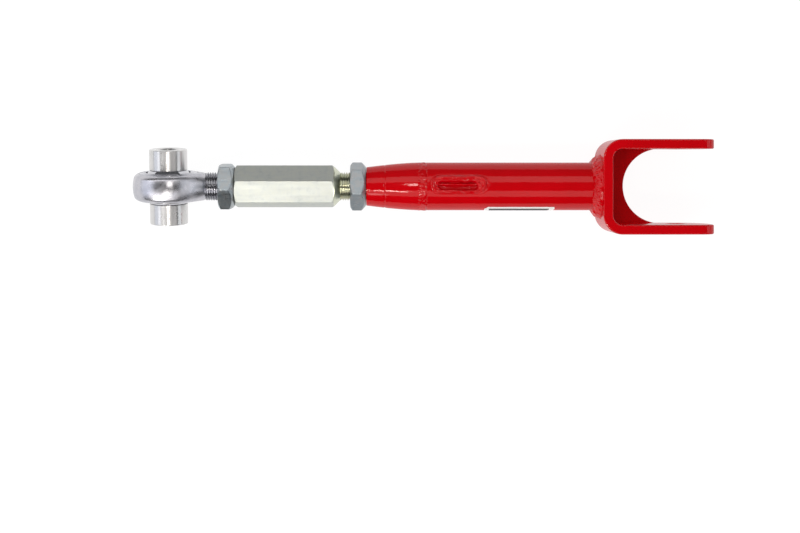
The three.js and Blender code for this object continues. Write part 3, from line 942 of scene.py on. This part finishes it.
def bracket(p):
    """Plate bent to a U, its ears tapered and rounded at the tips and drilled for the bolt."""
    x, y, z = p[..., 0], p[..., 1], p[..., 2]
    plate = np.abs(u_shape(x, y, PLATE / 2)) - PLATE / 2
    tip = corner(x - EAR_END, CLEVIS_BOTTOM - z, EAR_END - BOLT_X)
    taper = np.maximum(x - WEB_START - 20, 0) * 1.5 / (EAR_END - WEB_START - 20)
    side = corner(tip, z - CLEVIS_TOP + taper, 9.5)
    body = corner(plate, side, 0.9)
    return corner(body, HOLE_R - np.hypot(x - BOLT_X, z), 0.45)


piece(
    "clevis_u_plate", "clevis_bracket", RED,
    [carve(bracket, CLEVIS_LOW - 0.7, CLEVIS_HIGH + 0.7, 0.6)],
)


def gusset(p):
    """Plate across the bottom of the U with a round cut-out about the bolt."""
    x, y, z = p[..., 0], p[..., 1], p[..., 2]
    plan = corner(u_shape(x, y, 3.0), x - GUSSET_HIGH[0], 0.5)
    plan = corner(plan, GUSSET_CUT_R - np.hypot(x - GUSSET_CUT_X, y), 0.7)
    middle, half = (GUSSET_LOW[2] + CLEVIS_BOTTOM + 0.1) / 2, (CLEVIS_BOTTOM + 0.1 - GUSSET_LOW[2]) / 2
    return corner(plan, np.abs(z - middle) - half, 0.6)


piece(
    "clevis_gusset_plate", "clevis_gusset", RED,
    [carve(gusset, GUSSET_LOW - 0.7, GUSSET_HIGH + (0.7, 0.7, 1.2), 0.5)],
)


def gusset_weld():
    """Fillet along the gusset's edge, all round the U."""
    radius = BEND_R + PLATE
    end, left, half = GUSSET_HIGH[0] - 0.3, WEB_START, CLEVIS_HALF
    arm, web, turn = end - left - radius, 2 * (half - radius), radius * TAU / 4
    length = 2 * arm + 2 * turn + web
    s = np.linspace(0, length, 560)
    path, facing = np.zeros((len(s), 2)), np.zeros((len(s), 2))
    for i, d in enumerate(s):
        mirror = 1
        if d > length / 2:
            d, mirror = length - d, -1
        if d < arm:
            point, normal = (end - d, half), (0, 1)
        elif d < arm + turn:
            a = (d - arm) / radius
            normal = (-math.sin(a), math.cos(a))
            point = (left + radius + radius * normal[0], half - radius + radius * normal[1])
        else:
            point, normal = (left, half - radius - (d - arm - turn)), (-1, 0)
        path[i] = (point[0], mirror * point[1])
        facing[i] = (normal[0], mirror * normal[1])
    t = np.linspace(0, 1, 18)[None]
    base = np.concatenate([path, np.zeros((len(s), 1))], 1)[:, None]
    fade = smooth(0, 4, np.minimum(s, length - s))[:, None]
    ripple = np.sin(TAU * (s[:, None] + 1.0 * (2 * t - 1) ** 2) / 1.9)
    uneven = lumps(base, 6.0, 31) + 0.4 * lumps(base + np.array([0, 0, 9.0]) * t[..., None], 2.2, 32)
    out = np.sin(t * math.pi) * (0.45 + 0.22 * uneven + 0.07 * ripple) * fade
    inset = 0.25 + 2.95 * t - out * 0.62
    z = CLEVIS_BOTTOM + 0.25 - 2.55 * t * fade - out * 0.7
    inset = np.maximum(inset, 0.05)
    z = np.maximum(z, GUSSET_LOW[2] + 0.1)

    def at(inset, z):
        flat = path[:, None] - inset[..., None] * facing[:, None]
        return np.concatenate([flat, (z + 0 * inset)[..., None]], -1)

    outer = at(inset, z)
    inner = at(np.full((len(s), 1), 3.6), np.full((len(s), 1), CLEVIS_BOTTOM + 0.25))
    ring_points = np.concatenate([outer, inner], 1)
    return grid(ring_points[::-1], wrap_columns=True, cap=(True, True))


piece("gusset_weld", "gusset_weld_bead", RED_WELD, [gusset_weld()])


def rounded_end(v):
    """How far the label's left end is drawn in towards its two corners."""
    return 2.4 * smooth(0.12, 0.0, v) + 2.4 * smooth(0.88, 1.0, v)


def field_end(v):
    return 0.6 * rounded_end(v)


def slanted(v):
    return 3.0 - 6.0 * v


def slanted_end(v):
    return slanted(v) - 0.4 * rounded_end(v)


def patch(x0, x1, left, right, v0, v1, lift, rows=40, columns=40):
    """A sheet on the tube from x0 + left(v) to x1 + right(v), where v runs round from 0 to 1."""
    u = np.linspace(0, 1, columns)[:, None]
    v = np.linspace(v0, v1, rows)[None]
    start, end = x0 + left(v), x1 + right(v)
    angle = DECAL_FROM + (DECAL_TO - DECAL_FROM) * v
    rim = np.minimum(np.minimum(u, 1 - u) * (x1 - x0), np.minimum(v - v0, v1 - v) * DECAL_HEIGHT)
    radius = TUBE_R + lift - 0.06 * smooth(0.25, 0, rim)
    return grid(about_x(start + (end - start) * u, radius, angle)[:, ::-1], wrap_columns=False)


piece(
    "decal_base", "tube_decal", WHITE_VINYL,
    [patch(DECAL_START, DECAL_END - 3, rounded_end, slanted_end, 0, 1, 0.10)],
)
piece(
    "decal_field", "tube_decal", BLACK_VINYL,
    [patch(DECAL_START + 2.6, DECAL_END - 6.0, field_end, slanted_end, 0.075, 0.925, 0.125)],
)
BARS = [DECAL_START + 7.0 + 5.3 * k for k in range(7)]
piece(
    "decal_bars", "tube_decal", GREY_VINYL,
    [patch(x, x + 2.4, slanted, slanted, 0.24, 0.82, 0.15, rows=24, columns=6) for x in BARS],
)


# Floor, lights and camera


def emitter(name, centre, size, target, strength, colour):
    """A rectangular soft light placed in the arm's millimetres; the strength is its radiance."""
    data = bpy.data.lights.new(name, "AREA")
    data.shape = "RECTANGLE"
    data.size, data.size_y = size[0] * MM, size[1] * MM
    data.energy = strength * size[0] * size[1] * MM * MM * math.pi
    data.color = colour
    made = bpy.data.objects.new(name, data)
    at = Vector(np.array(centre) * MM + CENTRE)
    made.location = at
    aim = Vector(np.array(target) * MM + CENTRE) - at
    made.rotation_euler = aim.to_track_quat("-Z", "Y").to_euler()
    bpy.context.scene.collection.objects.link(made)
    return made


def floor():
    """Pale paper just under the arm's lowest face."""
    z = float(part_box("clevis_gusset")[0][2]) - 0.0004
    bpy.ops.mesh.primitive_plane_add(size=6.0, location=(0, 0, z))
    made = bpy.context.object
    made.name = "floor"
    look = Finish("floor_paper", (0.12, 0.12, 0.12), 0.9, Specular_IOR_Level=0.1)
    look.set("Emission Color", (1, 1, 1, 1))
    look.set("Emission Strength", 0.93)
    made.data.materials.append(look.material)
    return made


floor()
emitter("softbox_far", (-100, 516, 737), (2600, 470), (-100, 0, 0), 1.34, (1.0, 0.99, 0.98))
emitter("softbox_near", (-100, -516, 737), (2600, 470), (-100, 0, 0), 1.38, (1.0, 0.98, 0.97))
emitter("strip", (30, -280, 620), (130, 34), (150, 0, 0), 46.0, (1.0, 0.95, 0.86))
emitter("spot", (130, 95, 650), (80, 110), (150, 0, 0), 17.0, (1.0, 0.97, 0.92))
emitter("key", (-300, -620, 560), (500, 400), (150, 0, 0), 4.0, (1.0, 0.99, 0.97))
emitter("card_left", (-430, 0, 200), (420, 380), (0, 0, 0), 1.2, (0.86, 0.90, 1.0))
emitter("card_right", (1150, 0, 300), (900, 500), (200, 0, 0), 1.25, (0.94, 0.97, 1.0))


def studio():
    """Dim room, lighter towards the far side."""
    made = bpy.data.worlds.new("studio")
    made.use_nodes = True
    nodes, links = made.node_tree.nodes, made.node_tree.links
    background = nodes["Background"]
    background.inputs["Color"].default_value = (0.97, 0.98, 1.0, 1)
    direction = nodes.new("ShaderNodeSeparateXYZ")
    links.new(nodes.new("ShaderNodeTexCoord").outputs["Generated"], direction.inputs[0])
    level = nodes.new("ShaderNodeMapRange")
    links.new(direction.outputs["Y"], level.inputs["Value"])
    for socket, number in (("From Min", -1), ("From Max", 1), ("To Min", 0.04), ("To Max", 0.13)):
        level.inputs[socket].default_value = number
    links.new(level.outputs["Result"], background.inputs["Strength"])
    bpy.context.scene.world = made


studio()

camera_data = bpy.data.cameras.new("camera")
camera_data.sensor_width = 36
camera_data.lens = 67.1
camera_data.shift_x = 0.0152
camera_data.shift_y = -0.1225
camera_data.clip_start = 0.01
camera_data.clip_end = 20
camera = bpy.data.objects.new("camera", camera_data)
camera.location = Vector(np.array([147.0, 12.0, 1000.0]) * MM + CENTRE)
bpy.context.scene.collection.objects.link(camera)
bpy.context.scene.camera = camera
bpy.context.scene.view_settings.view_transform = "Standard"
